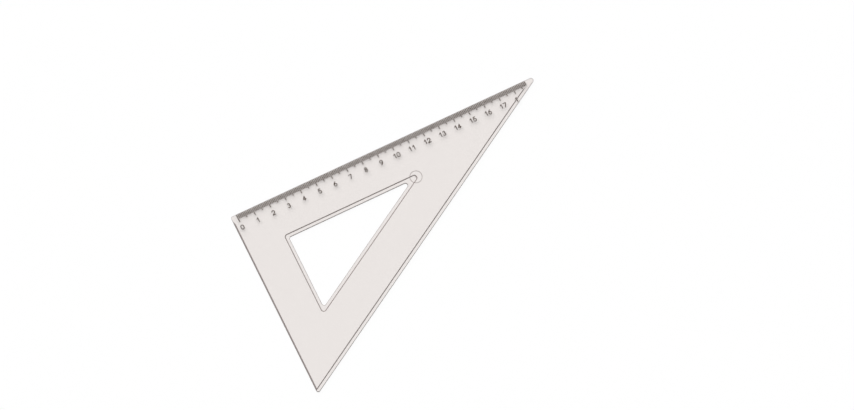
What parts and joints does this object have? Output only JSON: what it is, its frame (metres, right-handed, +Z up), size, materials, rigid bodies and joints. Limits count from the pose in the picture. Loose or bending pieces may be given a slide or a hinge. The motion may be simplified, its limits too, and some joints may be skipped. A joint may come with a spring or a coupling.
{
  "type": "set square",
  "caption": "Clear plastic 30/60 degree set square that lies flat, with a triangular window, a bevelled edge along the long leg and a printed centimetre scale.",
  "frame": {"origin": "middle of the bounding box in plan, on the underside that lies on the drawing", "axes": "+X along the scale edge from the right angle to the sharp tip, +Y from the foot of the short leg to the scale edge, +Z up through the printed face"},
  "size_m": [0.1972, 0.1152, 0.002],
  "materials": {
    "clear_plastic": "clear, glossy, with a slight warm tint",
    "ink": "near-black printing ink, semi-matt"
  },
  "bodies": {
    "root": {"plate": "clear_plastic", "millimetre_lines": "ink", "half_centimetre_lines": "ink", "centimetre_lines": "ink", "numeral_0": "ink", "numeral_1": "ink", "numeral_2": "ink", "numeral_3": "ink", "numeral_4": "ink", "numeral_5": "ink", "numeral_6": "ink", "numeral_7": "ink", "numeral_8": "ink", "numeral_9": "ink", "numeral_10": "ink", "numeral_11": "ink", "numeral_12": "ink", "numeral_13": "ink", "numeral_14": "ink", "numeral_15": "ink", "numeral_16": "ink", "numeral_17": "ink", "numeral_18": "ink"}
  },
  "joints": []
}
